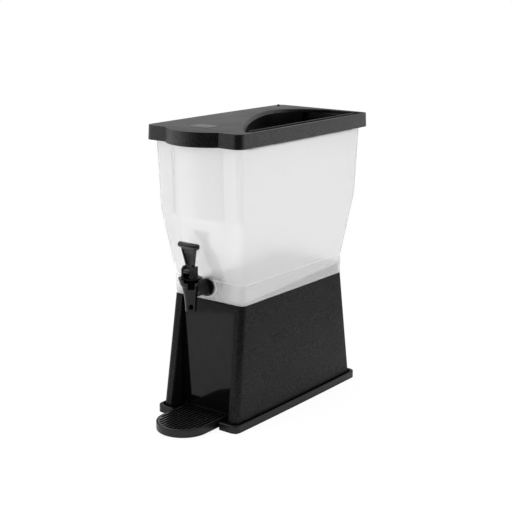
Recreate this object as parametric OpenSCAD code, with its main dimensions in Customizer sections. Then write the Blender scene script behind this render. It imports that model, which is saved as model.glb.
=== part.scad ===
// Slim countertop drink dispenser: black stand with a cup bay, milky lift-off tank,
// black lid with a leaf-shaped filling well, spring-closed lever tap, pull-out drip tray.
// Millimetres. Z is up, the tap faces -Y, the floor is z = 0.

/* [Stand] */
// height of the deck that carries the tank
deck_z = 213.8; // [180:0.1:240]
// width of the stand wall where it meets the foot frame
stand_foot_w = 166.4; // [156:0.1:176]
// depth of the stand wall where it meets the foot frame
stand_foot_d = 351.6; // [330:0.1:366]
// wall thickness of the stand
stand_wall = 3.2; // [2:0.1:5]
// corner radius of the stand wall
stand_r = 10; // [6:0.5:16]
// outward bow of the long sides of the stand
stand_bow = 1.2; // [0:0.1:4]
// height of the wedge that lifts the tank floor, at the front
wedge_front_h = 2; // [1:0.1:4]
// height of the wedge that lifts the tank floor, at the back
wedge_back_h = 17; // [10:0.1:22]

/* [Foot frame] */
// rim of the foot frame outside its groove, at the sides
rim_side = 4.1; // [3:0.1:8]
// rim of the foot frame outside its groove, at the front and back
rim_end = 5.7; // [3:0.1:10]
// top of the foot frame above the floor
frame_top_z = 14.4; // [11:0.1:20]
// underside of the foot frame above the floor
frame_z = 1.2; // [0.6:0.1:3]
// corner radius of the foot frame
frame_r = 12; // [8:0.5:18]
// rounding of the top edge of the foot frame
frame_edge_r = 1.8; // [0.5:0.1:1.9]
// radius of the rubber pads
pad_r = 4.9; // [4:0.1:6]
// depth of the pads' sockets in the foot frame
pad_sink = 3; // [2:0.1:4]
// width of the groove between the frame lip and the stand wall
groove_w = 3.2; // [1.5:0.1:3.8]
// level of the seat that carries the stand wall
seat_z = 7; // [5:0.1:9]
// room left free at each side of the tray
way_gap = 5; // [3:0.1:6]

/* [Cup bay] */
// half width of the bay at the deck
bay_top_hw = 57.5; // [50:0.5:62]
// half width of the bay at the foot
bay_foot_hw = 63; // [58:0.5:68]
// recess of the bay panel behind the front edge of the deck
bay_in = 2.7; // [1.5:0.1:6]
// thickness of the bay panel
panel_t = 2.2; // [1.5:0.1:3]
// lip left over the bay panel
bay_lip = 3; // [2:0.1:5]

/* [Drip tray] */
// half width of the tray and radius of its nose
tray_r = 47; // [42:0.1:49]
// distance of the centre of the tray nose in front of the foot frame
nose_out = 30.3; // [20:0.1:45]
// distance from the middle to the back of the tray
tray_back = 96; // [90:0.5:110]
// underside of the tray above the floor
tray_z = 2; // [1:0.1:3]
// top of the tray rim above the floor
tray_top_z = 16; // [14:0.1:18]
// wall thickness of the tray
tray_wall = 2; // [1.5:0.1:3]
// half height of the runners that carry the tray
runner_h = 1.1; // [0.8:0.05:1.5]
// thickness of the drip grid
grid_t = 2.8; // [2:0.1:4]
// number of slots in the drip grid
slot_count = 12; // [8:1:15]
// share of each slot pitch that is open
slot_share = 0.55; // [0.4:0.01:0.65]

/* [Tank] */
// wall thickness of the tank
tank_wall = 3; // [2.2:0.1:4]
// width of the straight band that stands on the deck
band_w = 152; // [146:0.1:156]
// depth of the straight band that stands on the deck
band_d = 298.6; // [290:0.1:304]
// height of the straight band
band_h = 35.7; // [32:0.1:44]
// width at the knee above the flare
knee_w = 178; // [170:0.1:182]
// depth at the knee above the flare
knee_d = 344.6; // [334:0.1:350]
// height of the knee above the deck
knee_h = 148.2; // [128:0.1:170]
// height of the tank above the deck
tank_h = 284.5; // [250:0.1:310]
// width under the rim flange
mouth_w = 184.6; // [180:0.1:187]
// depth under the rim flange
mouth_d = 357; // [350:0.1:362]
// forward swell of the front wall
swell = 20; // [10:0.5:24]
// half width of the swell
swell_hw = 55; // [48:0.5:58]
// thickness of the rim flange
flange_t = 5; // [3:0.1:7]
// reach of the rim flange at the sides
flange_side = 3.8; // [3:0.1:6]
// reach of the rim flange at the front and back
flange_end = 7.4; // [5:0.1:9]
// radius of the inner boss round the tap hole
boss_r = 18.2; // [15.8:0.1:18.6]
// length of the inner boss round the tap hole
boss_l = 9.8; // [6:0.1:13]

/* [Lid] */
// height of the top of the lid above the tank rim
lid_rise = 9.5; // [8.5:0.1:14]
// drop of the lid skirt below the tank rim
lid_drop = 14.8; // [10:0.1:20]
// room between the lid skirt and the rim flange
skirt_gap = 1; // [0.5:0.1:2]
// wall thickness of the lid
lid_wall = 2.6; // [2:0.1:3.5]
// forward swell of the lid
lid_swell = 24; // [16:0.5:28]
// half width of the lid swell
lid_swell_hw = 57; // [52:0.5:62]
// outward bow of the long sides of the lid
lid_bow = 2.2; // [0:0.1:4]
// corner radius of the lid
lid_r = 13; // [9:0.5:15]
// depth of the step round the well, which is also the depth of its sloping lip
step_h = 6; // [4:0.1:7]
// depth of the filling well
well_h = 30; // [24:0.5:34]
// distance from the middle to the straight side of the well
well_x = 80; // [76:0.5:82]
// distance from the middle to the back end of the well
well_back = 166; // [140:0.5:168]
// width of the sloping lip of the step
lip_w = 3; // [1.5:0.1:4]
// radius of the filling hole in the well floor
fill_r = 17; // [12:0.5:22]
// distance of the filling hole behind the middle
fill_y = 30; // [10:1:60]
// border behind the step
step_edge = 6; // [5:0.1:8]
// border along the right side of the step
step_side = 4.2; // [3.4:0.1:6]
// distance from the middle to the front tip of the leaf curve
leaf_front = 161; // [150:0.5:166]
// distance from the right end of the leaf curve to the border of the step
leaf_edge = 7; // [5:0.1:10]
// reach of the leaf curve to the left of the middle
leaf_reach = 57; // [50:0.5:64]
// level of that reach behind the middle
leaf_belly = 100; // [90:0.5:108]
// rounding of the top edge of the lid
lid_edge_r = 3.2; // [1.6:0.1:3.6]
// radius of the locating nub at the back corner
nub_r = 2.4; // [1.8:0.1:3]
// distance of the nub behind the middle
nub_y = 172; // [160:0.5:178]

/* [Tap] */
// height of the shank axis above the deck
shank_h = 22.7; // [20.4:0.1:23.6]
// length of the visible shank, from the collar to the axis of the tap body
shank_l = 37.8; // [34:0.1:46]
// radius of the visible shank
shank_r = 10.5; // [9.8:0.1:11]
// radius over the thread of the shank
thread_r = 10; // [9:0.1:10.4]
// radius of the shank collar
collar_r = 15.2; // [13.6:0.1:15.6]
// thickness of the shank collar
collar_t = 4; // [3:0.1:6]
// drop of the spout mouth below the shank axis
spout_drop = 32.1; // [28.5:0.1:36]
// outer radius of the spout mouth
spout_r = 9.4; // [9:0.1:10]
// radius of the spout bore
spout_bore = 6.5; // [5.5:0.1:7]
// height of the rim of the tap body above the shank axis
rim_rise = 24.5; // [23:0.1:27.5]
// width of the rim of the tap body
rim_wall = 5.4; // [4.5:0.1:6.5]
// radius of the socket for the bonnet
socket_r = 15.6; // [15:0.1:16]
// angle of the locking slots away from the front
slot_angle = 42; // [30:1:50]
// width of the upper part of each locking slot
tee_w = 24; // [20:0.1:26]
// height of the upper part of each locking slot
tee_h = 4.5; // [3.5:0.1:5.5]
// width of the lower part of each locking slot
leg_w = 11.6; // [9:0.1:13]
// height of the whole locking slot
leg_h = 16.5; // [14:0.1:18]
// width of the notch in the spout
notch_w = 6.6; // [4:0.1:8]
// height of the notch in the spout
notch_h = 10; // [7:0.1:11]
// height of the lever pin above the rim of the tap body
pin_rise = 12; // [10.8:0.1:14]
// distance of the lever pin in front of the stem
pin_off = 6; // [5:0.1:7]
// radius of the lever pin
pin_r = 2; // [1.5:0.1:2.4]
// radius of the pin through the stem
stem_pin_r = 1.5; // [1.2:0.1:1.6]
// thickness of each bonnet ear
ear_t = 4.6; // [4:0.1:6]
// depth of each bonnet ear
ear_d = 15; // [13:0.1:16]
// width of the lever at its hub
lever_w = 13.6; // [12.6:0.1:16]
// width of the lever under the crossbar
lever_top_w = 29.6; // [24:0.1:32]
// thickness of the lever
lever_t = 8.4; // [7:0.1:9]
// radius of the lever hub
hub_r = 5.2; // [4.8:0.1:6]
// height of the two bonnet ears above the rim of the tap body
ear_rise = 20.8; // [18.6:0.1:23]
// distance from the lever pin to the axis of the crossbar
bar_rise = 44.3; // [38:0.1:52]
// radius of the crossbar
bar_r = 5; // [4.5:0.1:6.5]
// half length of the crossbar
bar_hl = 20.6; // [18:0.1:26]
// forward lean of the lever
lean = 6.3; // [0:0.1:10]
// radius of the valve stem
stem_r = 2.5; // [2:0.1:2.6]
// turns of the closing spring
spring_turns = 4; // [3:0.5:6]
// radius of the spring wire
wire_r = 0.6; // [0.4:0.05:0.8]

// thickness of the sealing washers
washer_t = 2.5; // [1.5:0.1:3]
// thickness of the lock nut
nut_t = 8; // [6:0.1:10]

/* [Fits] */
// gap between parts that lift apart
lift_gap = 0.2; // [0.1:0.05:0.5]
// gap between parts that slide
slide_gap = 0.4; // [0.2:0.05:0.8]
// radial gap of turning pins
pin_gap = 0.08; // [0.02:0.01:0.1]
// gap between the tank band and the deck wedge
wedge_gap = 1.2; // [0.6:0.1:2]

/* [Hidden] */
$fn = 64;
eps = 0.01;

frame_w = stand_foot_w + 2*(groove_w + rim_side);
frame_d = stand_foot_d + 2*(groove_w + rim_end);
tray_way = tray_r + way_gap;
tray_nose = frame_d/2 + nose_out;
bay_y = band_d/2 - bay_in;
crease_z = deck_z + band_h;
knee_z = deck_z + knee_h;
rim_top_z = deck_z + tank_h;
lid_seat_z = rim_top_z + lift_gap;
lid_top_z = lid_seat_z + lid_rise;
lid_low_z = lid_seat_z - lid_drop;
lid_w = mouth_w + 2*(flange_side + skirt_gap + lid_wall);
lid_d = mouth_d + 2*(flange_end + skirt_gap + lid_wall);
shank_z = deck_z + shank_h;
tap_y = band_d/2 + washer_t + collar_t + shank_l;
spout_z = shank_z - spout_drop;
rim_z = shank_z + rim_rise;
rim_r = socket_r + rim_wall;
pin_z = rim_z + pin_rise;
ear_z = rim_z + ear_rise;
bar_z = pin_z + bar_rise;

// plan = [half width, front, back, corner radius, swell, swell half width, side bow]
deck_plan = [band_w/2, band_d/2, band_d/2, stand_r, 0, 0, stand_bow/4];
foot_plan = [stand_foot_w/2, stand_foot_d/2, stand_foot_d/2, stand_r + 1, 0, 0, stand_bow];
frame_plan = [frame_w/2 - stand_bow, frame_d/2, frame_d/2, frame_r, 0, 0, stand_bow];
band_plan = [band_w/2, band_d/2, band_d/2, stand_r, 0, swell_hw, 0];
knee_plan = [knee_w/2, knee_d/2, knee_d/2, stand_r + 2, swell, swell_hw, 0.6];
mouth_plan = [mouth_w/2, mouth_d/2, mouth_d/2, stand_r + 2, swell + 1, swell_hw, 1];
lid_plan = [lid_w/2, lid_d/2, lid_d/2, lid_r, lid_swell, lid_swell_hw, lid_bow];
flange_plan = inset(lid_plan, lid_wall + skirt_gap);
wedge_plan = inset(deck_plan, tank_wall + wedge_gap);

wedge_slope = (wedge_back_h - wedge_front_h)/band_d;
wedge_mid = deck_z + (wedge_front_h + wedge_back_h)/2;
floor_front = deck_z + wedge_front_h + 1;
floor_back = deck_z + wedge_back_h + 1;

band_y = -band_d/2;
collar_y = band_y - washer_t;
boss_y = band_y + tank_wall + boss_l;
shank_end = boss_y + washer_t + nut_t + 4;
seat_low = spout_z + 17.6;
seat_rise = 4;
seat_r = spout_bore + 2;
chamber_r = seat_r + 0.4;
cup_lift = 0.42;
socket_z = rim_z - 10.5;
bonnet_z = socket_z + 1.5;
bonnet_top = rim_z + 2.2;
collar_top = seat_low + 14;
spring_len = bonnet_z - collar_top;
coil_r = stem_r + wire_r + 1.1;
lever_hw = lever_w/2;
runner_z = seat_z - runner_h - 0.8;
rail_y0 = -bay_y + 4;
rail_y1 = -tray_back - 4;
grid_back = bay_y + 2;
ear_x = lever_hw + slide_gap;
pad_x = frame_w/2 - pad_r - 4.1;
pad_y = frame_d/2 - pad_r - 4.1;
spring_rise = spring_len - 2*wire_r - lift_gap;
spring_gap = spring_rise/spring_turns - 2*wire_r;
echo(least_gap_of_spring = spring_gap);

// leaf curve of the lid: front tip, belly and back end, with its handles as shares of the spans
step_x = lid_w/2 - step_side;
step_y = lid_d/2 - step_edge;
leaf_side = step_x - leaf_edge;
leaf_a = [leaf_side, -leaf_front];
leaf_b = [-leaf_reach, leaf_belly];
leaf_c = [0.255*step_x, 0.97*step_y];
leaf_ab = leaf_b - leaf_a;
leaf_bc = leaf_c - leaf_b;
leaf = concat([leaf_a],
  bez(leaf_a, leaf_a + span(leaf_ab, 0.443, 0.234), leaf_b - span(leaf_ab, 0.007, 0.211), leaf_b, 14),
  bez(leaf_b, leaf_b + span(leaf_bc, 0, 0.449), leaf_c - span(leaf_bc, 0.543, 0.051), leaf_c, 8));
well_curve = [for (q = leaf) if (q[0] < well_x - 6 && q[1] < well_back - 6) q];

function inset(p, t) = [p[0] - t, p[1] - t, p[2] - t, max(p[3] - t, 1), p[4], p[5], p[6]];
function arc(cx, cy, r, a, b, n) = [for (i = [0:n]) let (t = a + (b - a)*i/n) [cx + r*cos(t), cy + r*sin(t)]];
// right half of a plan, from the middle of the front to the middle of the back
function half(p) = let (w = p[0], f = p[1], b = p[2], r = p[3], k = p[5]) concat(
  k == 0 ? [] : [for (i = [0:7]) let (x = k*i/8) [x, -f - p[4]*(1 - pow(x/k, 2))]],
  k == 0 ? [] : [[k, -f]],
  arc(w - r, -f + r, r, -90, 0, 6),
  [for (i = [1:3]) let (s = i/2 - 1) [w + p[6]*(1 - s*s), -f + r + (b + f - 2*r)*i/4]],
  arc(w - r, b - r, r, 0, 90, 6));
function plan(p) = let (h = half(p), n = len(h))
  concat(h, [for (i = [n - 1:-1:p[5] == 0 ? 0 : 1]) [-h[i][0], h[i][1]]]);
function ring(p, z, slope = 0) = [for (q = plan(p)) [q[0], q[1], z + slope*q[1]]];
function span(v, x, y) = [v[0]*x, v[1]*y];
function bez(a, b, c, d, n) = [for (i = [1:n]) let (t = i/n, u = 1 - t)
  a*u*u*u + 3*b*u*u*t + 3*c*u*t*t + d*t*t*t];

// closed skin through a stack of rings, capped at both ends or run round into itself
module loft(rings, loop = false) {
  n = len(rings[0]);
  m = len(rings);
  sides = [for (k = [0:loop ? m - 1 : m - 2]) for (i = [0:n - 1])
    let (a = k*n + i, b = k*n + (i + 1)%n, c = (b + n)%(m*n), d = (a + n)%(m*n)) each [[a, d, c], [a, c, b]]];
  caps = [[for (i = [0:n - 1]) i], [for (i = [n - 1:-1:0]) (m - 1)*n + i]];
  polyhedron(points = [for (g = rings) each g], faces = loop ? sides : concat(caps, sides), convexity = 8);
}

module round_rect(hw, hd, r) {
  square([2*hw - 2*r, 2*hd], center = true);
  square([2*hw, 2*hd - 2*r], center = true);
  for (x = [-1, 1], y = [-1, 1]) translate([x*(hw - r), y*(hd - r)]) circle(r);
}

// prism of the cup bay running forward from y
module bay(y, z0, z1, grow) {
  k = (bay_foot_hw - bay_top_hw)/(deck_z - seat_z);
  w0 = bay_foot_hw - k*(z0 - seat_z) + grow;
  w1 = bay_foot_hw - k*(z1 - seat_z) + grow;
  translate([0, y, 0]) rotate([90, 0, 0]) linear_extrude(band_d/4)
    polygon([[-w0, z0], [w0, z0], [w1, z1], [-w1, z1]]);
}

// one side wall of the bay, its front edge following the lean of the stand front
module cheek() {
  rise = deck_z - seat_z;
  tilt = atan((bay_foot_hw - bay_top_hw)/rise);
  lean_y = (stand_foot_d - band_d)/2;
  front = -stand_foot_d/2 + 1;
  translate([bay_foot_hw, 0, seat_z + stand_wall*sin(tilt)]) rotate([0, -tilt, 0]) rotate([90, 0, 90]) linear_extrude(stand_wall)
    polygon([[front, 0], [-bay_y + panel_t + stand_wall, 0], [-bay_y + panel_t + stand_wall, rise - 1],
      [front + lean_y*(rise - 1)/rise, rise - 1]]);
}

module stand() color("#232324") {
  back = -bay_y + panel_t;
  difference() {
    loft([
      ring(inset(wedge_plan, stand_wall), wedge_mid - stand_wall, wedge_slope),
      ring(inset(wedge_plan, stand_wall), deck_z - stand_wall),
      ring(inset(deck_plan, stand_wall), deck_z - stand_wall),
      ring(inset(foot_plan, stand_wall), seat_z),
      ring(foot_plan, seat_z),
      ring(deck_plan, deck_z),
      ring(wedge_plan, deck_z),
      ring(wedge_plan, wedge_mid, wedge_slope)]);
    bay(back, seat_z - 5, deck_z - bay_lip, 0);
  }
  cheek();
  mirror([1, 0, 0]) cheek();
  difference() {
    translate([0, stand_wall, 0]) bay(back, seat_z, deck_z - 1, 1);
    translate([-band_w, back - band_d, 0]) cube([2*band_w, band_d, deck_z]);
    translate([-tray_way, back - 1, seat_z - 1]) cube([2*tray_way, stand_wall + 2, tray_top_z + 2.5 - seat_z]);
  }
}

module foot_frame() color("#262627") {
  low = inset(foot_plan, stand_wall + 5);
  lip = inset(foot_plan, -groove_w);
  rail_y = (rail_y0 + rail_y1)/2;
  difference() {
    union() {
      loft([
        ring(low, frame_z),
        ring(frame_plan, frame_z),
        ring(frame_plan, frame_top_z - frame_edge_r),
        ring(inset(frame_plan, 0.3*frame_edge_r), frame_top_z - 0.3*frame_edge_r),
        ring(inset(frame_plan, frame_edge_r), frame_top_z),
        ring(lip, frame_top_z),
        ring(lip, seat_z),
        ring(low, seat_z)], loop = true);
      for (s = [-1, 1]) translate([s*(tray_way + low[0])/2, (rail_y1 - low[1])/2, (frame_z + seat_z)/2])
        cube([low[0] - tray_way + 2, rail_y1 + low[1] + 2, seat_z - frame_z], center = true);
    }
    translate([-tray_way, -frame_d, 0]) cube([2*tray_way, frame_d, frame_top_z + 1]);
    for (x = [-1, 1], y = [-1, 1]) translate([x*pad_x, y*pad_y, 0]) cylinder(h = frame_z + pad_sink, r = pad_r + 0.1);
  }
  for (s = [-1, 1]) translate([s*(tray_way + tray_r)/2, rail_y, runner_z])
    cube([tray_way - tray_r + 4, rail_y1 - rail_y0, 2*runner_h], center = true);
}

module bay_panel() color("#101011") difference() {
  bay(-bay_y + panel_t, tray_top_z + 1.5, deck_z - bay_lip - lift_gap, -lift_gap);
  translate([-band_w, -bay_y - band_d, 0]) cube([2*band_w, band_d, deck_z]);
}

module pad(x, y) color("#1a1a1a") translate([x*pad_x, y*pad_y, 0]) cylinder(h = frame_z + pad_sink, r = pad_r);
module pad_fl() pad(-1, -1);
module pad_fr() pad(1, -1);
module pad_bl() pad(-1, 1);
module pad_br() pad(1, 1);

module tray_plan(t, back) {
  translate([0, -tray_nose]) circle(tray_r - t);
  translate([-tray_r + t, -tray_nose]) square([2*tray_r - 2*t, tray_nose - back]);
}

module drip_tray() color("#1b1b1c") difference() {
  ledge = tray_wall + 1.6;
  rail_w = 6;
  translate([0, 0, tray_z]) linear_extrude(tray_top_z - tray_z) tray_plan(0, tray_back);
  translate([0, 0, tray_z + tray_wall]) linear_extrude(tray_top_z) tray_plan(ledge, grid_back + ledge);
  translate([0, 0, tray_top_z - grid_t - lift_gap]) linear_extrude(tray_top_z) tray_plan(tray_wall, grid_back);
  translate([-tray_r + rail_w, -grid_back - ledge - 1, tray_z + tray_wall])
    cube([2*tray_r - 2*rail_w, grid_back + ledge + 1 - tray_back - tray_wall, tray_top_z - tray_z - 2*tray_wall]);
  for (s = [-1, 1]) translate([s*tray_r, (rail_y0 - tray_back)/2, runner_z])
    cube([4 + 2*slide_gap, -tray_back - rail_y0 + 2, 2*runner_h + 2*slide_gap], center = true);
}

module drip_grid() color("#202021") {
  m = tray_wall + slide_gap;
  span = 2*(tray_r - m - 2.4);
  pitch = span/slot_count;
  translate([0, 0, tray_top_z - grid_t]) linear_extrude(grid_t) difference() {
    tray_plan(m, grid_back + slide_gap);
    intersection() {
      tray_plan(m + 2, grid_back + slide_gap + 3);
      for (i = [0:slot_count - 1]) translate([(i + 0.5)*pitch - span/2, -grid_back])
        square([pitch*slot_share, 4*tray_r], center = true);
    }
  }
}

module tank() color("#e6e6e4") {
  tuck = 0.15;
  difference() {
    union() {
      translate([0, 0, deck_z + lift_gap]) linear_extrude(crease_z - deck_z - lift_gap) difference() {
        round_rect(band_w/2, band_d/2, stand_r);
        round_rect(band_w/2 - tank_wall, band_d/2 - tank_wall, stand_r - tank_wall);
      }
      rotate([90, 0, 90]) linear_extrude(band_w - 2*tank_wall + 2, center = true) polygon([
        [band_y + tank_wall - 1, floor_front], [-band_y - tank_wall + 1, floor_back],
        [-band_y - tank_wall + 1, floor_back + tank_wall], [band_y + tank_wall - 1, floor_front + tank_wall]]);
      translate([0, boss_y, shank_z]) rotate([90, 0, 0]) cylinder(h = boss_l + tank_wall/2, r = boss_r);
    }
    translate([0, 0, shank_z]) rotate([90, 0, 0]) cylinder(h = band_d, r = thread_r + slide_gap);
  }
  loft([
    ring(inset(band_plan, tank_wall - tuck), crease_z - 1),
    ring(inset(band_plan, tuck), crease_z - 1),
    ring(inset(band_plan, tuck), crease_z),
    ring(knee_plan, knee_z),
    ring(mouth_plan, rim_top_z - flange_t),
    ring(flange_plan, rim_top_z - flange_t),
    ring(flange_plan, rim_top_z),
    ring(inset(mouth_plan, tank_wall), rim_top_z),
    ring(inset(knee_plan, tank_wall), knee_z),
    ring(inset(band_plan, tank_wall - tuck), crease_z)], loop = true);
}

// outline of the step moved inwards by s: the leaf curve, the back border and the right border
function step(s) = concat(
  [for (q = leaf) [q[0] + s, q[1] + s/2]], [[step_x - s, step_y - s], [step_x - s, 10 - leaf_front + s]]);
function step_ring(s, z) = [for (q = step(s)) [q[0], q[1], z]];
// outline of the well: the leaf curve moved inwards by s, and three straight sides moved outwards
function well(s, grow) = let (a = well_curve[0], b = well_curve[len(well_curve) - 1]) concat(
  [for (q = well_curve) [q[0] + s, q[1] + s/2]],
  [[b[0] + s, well_back + grow], [well_x + grow, well_back + grow], [well_x + grow, a[1] + s/2 - grow/2]]);

module lid() color("#2c2c2d") {
  low = inset(lid_plan, -1.1);
  ledge = inset(lid_plan, lid_wall + 13);
  difference() {
    union() {
      loft([
        ring(ledge, lid_top_z - lid_wall),
        ring(ledge, lid_seat_z),
        ring(inset(lid_plan, lid_wall), lid_seat_z),
        ring(inset(low, lid_wall), lid_low_z),
        ring(low, lid_low_z),
        ring(lid_plan, lid_top_z - lid_edge_r),
        ring(inset(lid_plan, 0.3*lid_edge_r), lid_top_z - 0.3*lid_edge_r),
        ring(inset(lid_plan, lid_edge_r), lid_top_z)]);
      translate([0, 0, lid_top_z - step_h - lid_wall]) linear_extrude(step_h + 0.4) intersection() {
        polygon(step(0.2 - lid_wall));
        square([2*step_x - 4, 2*step_y - 4], center = true);
      }
      translate([0, 0, lid_top_z - well_h - lid_wall]) linear_extrude(well_h) polygon(well(lip_w + 0.4 - lid_wall, lid_wall));
      translate([5 - step_x, nub_y, lid_top_z - 1]) cylinder(h = nub_r + 0.8, r = nub_r);
    }
    // the step, less the well's right wall, which rises through it to the top as a rib
    difference() {
      loft([step_ring(-lip_w/step_h, lid_top_z + 1), step_ring(lip_w, lid_top_z - step_h)]);
      translate([well_x, well_curve[0][1] - 20, lid_seat_z]) cube([lid_wall, well_back + lid_wall + 20 - well_curve[0][1], lid_rise]);
    }
    translate([0, 0, lid_top_z - well_h]) linear_extrude(well_h - step_h + 0.7) polygon(well(lip_w + 0.4, 0));
    translate([well_x - fill_r - 20, fill_y, lid_top_z - well_h - lid_wall - 1]) cylinder(h = well_h, r = fill_r);
  }
}

// a pair of T-shaped locking slots, or the lugs that fill them
module tee(y0, y1, grow) {
  for (a = [0, 180]) rotate([0, 0, slot_angle + a]) {
    translate([-tee_w/2 - grow, -y1, rim_z - tee_h - grow]) cube([tee_w + 2*grow, y1 - y0, tee_h + 2*grow]);
    translate([-leg_w/2 - grow, -y1, rim_z - leg_h - grow]) cube([leg_w + 2*grow, y1 - y0, leg_h - tee_h + 2]);
  }
}

module tap_body() color("#1f1f20") {
  difference() {
    union() {
      translate([0, -tap_y, 0]) rotate_extrude() polygon([[0, spout_z], [spout_r, spout_z],
        [spout_r + 0.6, spout_z + 13.6], [spout_r + 2.1, spout_z + 26.6], [rim_r - 5.3, rim_z - 14],
        [rim_r - 3.1, socket_z - 0.5], [rim_r, rim_z], [0, rim_z]]);
      translate([0, -tap_y, shank_z]) rotate([-90, 0, 0]) cylinder(h = tap_y + collar_y - eps, r = shank_r);
      translate([0, collar_y - collar_t, shank_z]) rotate([-90, 0, 0]) cylinder(h = collar_t, r = collar_r);
      translate([0, collar_y - eps, shank_z]) rotate([-90, 0, 0]) cylinder(h = shank_end - collar_y, r = thread_r);
    }
    translate([0, -tap_y, 0]) rotate_extrude() polygon([[0, spout_z - 1], [spout_bore, spout_z - 1],
      [spout_bore, seat_low], [seat_r, seat_low + seat_rise], [chamber_r, seat_low + seat_rise + 1],
      [chamber_r, seat_low + 11], [socket_r - 2.6, socket_z - 3], [socket_r - 2.6, socket_z],
      [socket_r, socket_z], [socket_r, rim_z + 1], [0, rim_z + 1]]);
    translate([0, -tap_y, shank_z]) rotate([-90, 0, 0]) cylinder(h = tap_y, r = thread_r - 3);
    translate([0, -tap_y, 0]) tee(8, rim_r + 4, 0);
    translate([0, -tap_y, spout_z]) rotate([0, 0, slot_angle]) rotate([90, 0, 0]) linear_extrude(2*spout_r) {
      translate([-notch_w/2, -1]) square([notch_w, notch_h + 1]);
      translate([0, notch_h]) circle(notch_w/2);
    }
  }
}

module bonnet() color("#161617") translate([0, -tap_y, 0]) difference() {
  union() {
    translate([0, 0, bonnet_z]) cylinder(h = bonnet_top - bonnet_z, r = socket_r - lift_gap);
    translate([0, 0, rim_z + lift_gap]) cylinder(h = bonnet_top - rim_z - lift_gap, r = socket_r + 0.9);
    intersection() {
      tee(8, rim_r, -lift_gap);
      translate([0, 0, rim_z - leg_h - 1]) cylinder(h = leg_h + tee_h + 1, r1 = socket_r - 0.2, r2 = socket_r + 1.2);
    }
    for (s = [-1, 1]) translate([s*(ear_x + ear_t/2), -pin_off + 3, bonnet_top - eps]) ear_block();
  }
  translate([0, 0, spout_z]) cylinder(h = ear_z - spout_z, r = stem_r + 0.25);
  translate([0, -pin_off, pin_z]) rotate([0, 90, 0]) cylinder(h = 4*rim_r, r = pin_r + pin_gap, center = true);
  translate([0, 0, socket_z - 12]) cylinder(h = 12 + bonnet_z - socket_z, r = socket_r - 2.4);
}

module ear_block() {
  h = ear_z - bonnet_top;
  rotate([90, 0, 90]) translate([0, 0, -ear_t/2]) linear_extrude(ear_t)
    polygon([[-ear_d/2, 0], [ear_d/2, 0], [ear_d/2, h], [4 - ear_d/2, h], [-ear_d/2, h - 5]]);
}

module lever() color("#29292a") {
  top = bar_z - pin_z;
  mid = lever_t/2;
  slot = stem_pin_r + 0.25;
  translate([0, -tap_y, pin_z]) difference() {
    union() {
      translate([0, -pin_off, 0]) rotate([0, 90, 0]) cylinder(h = lever_w, r = hub_r, center = true);
      translate([-lever_hw, -pin_off, -hub_r]) cube([lever_w, pin_off + mid + 0.2, 2*hub_r + 1.6]);
      rotate([lean, 0, 0]) {
        translate([0, mid + 0.2, 0]) rotate([90, 0, 0]) linear_extrude(lever_t) polygon([[0.4 - lever_hw, 0],
          [lever_hw - 0.4, 0], [lever_hw - 0.2, 8], [lever_top_w/2, top], [-lever_top_w/2, top], [0.2 - lever_hw, 8]]);
        translate([0, 0.2, top]) rotate([0, 90, 0]) rotate_extrude() crossbar_half();
        mirror([1, 0, 0]) translate([0, 0.2, top]) rotate([0, 90, 0]) rotate_extrude() crossbar_half();
      }
    }
    rotate([lean, 0, 0]) translate([0, 0.2 - mid/2, 0]) rotate([90, 0, 0]) linear_extrude(lever_t)
      polygon([[2.8 - lever_hw, 12], [lever_hw - 2.8, 12], [lever_top_w/2 - 2.6, top - bar_r - 1],
        [2.6 - lever_top_w/2, top - bar_r - 1]]);
    translate([0, -pin_off, 0]) rotate([0, 90, 0]) cylinder(h = 2*lever_w, r = pin_r + pin_gap, center = true);
    translate([-stem_r - slide_gap, -stem_r - 3.4, -2*hub_r]) cube([2*stem_r + 2*slide_gap, 2*lever_t, 2*hub_r + 8]);
    for (y = [-0.4, 1.4]) translate([0, y, 0]) rotate([0, 90, 0]) cylinder(h = 2*lever_w, r = slot, center = true);
    translate([-lever_w, -0.4, -slot]) cube([2*lever_w, 1.8, 2*slot]);
  }
}

// right half of the crossbar profile, with a dished end
module crossbar_half() polygon([[0, -eps], [bar_r, -eps], [bar_r, bar_hl - 1.5], [bar_r - 0.5, bar_hl - 0.5],
  [bar_r - 1.5, bar_hl], [bar_r - 3.3, bar_hl], [bar_r - 3.9, bar_hl - 0.7], [0, bar_hl - 0.7]]);

module lever_pin() color("#8d8d90") translate([0, -tap_y - pin_off, pin_z]) rotate([0, 90, 0])
  cylinder(h = 2*(ear_x + ear_t), r = pin_r, center = true);

module stem() color("#34343a") translate([0, -tap_y, 0]) difference() {
  rotate_extrude() polygon([[0, seat_low + cup_lift], [stem_r, seat_low + cup_lift],
    [stem_r, collar_top - 1.6], [stem_r + 3, collar_top - 1.6], [stem_r + 3, collar_top],
    [stem_r, collar_top], [stem_r, pin_z + 2.2], [stem_r - 0.6, pin_z + 3], [0, pin_z + 3]]);
  translate([0, 0, pin_z]) rotate([0, 90, 0]) cylinder(h = 4*stem_r, r = stem_pin_r, center = true);
}

module stem_pin() color("#8d8d90") translate([0, -tap_y, pin_z]) rotate([0, 90, 0])
  cylinder(h = lever_w - 1.6, r = stem_pin_r, center = true);

module seat_cup() color("#c9c7bd") translate([0, -tap_y, 0]) rotate_extrude()
  polygon([[stem_r + 0.05, seat_low + cup_lift], [spout_bore, seat_low + cup_lift],
    [seat_r - 0.4, seat_low + seat_rise + cup_lift - 0.4], [seat_r - 0.4, seat_low + 6.4],
    [stem_r + 3.4, seat_low + 9], [stem_r + 2.4, collar_top - 1.8], [stem_r + 0.05, collar_top - 1.8]]);

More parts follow.
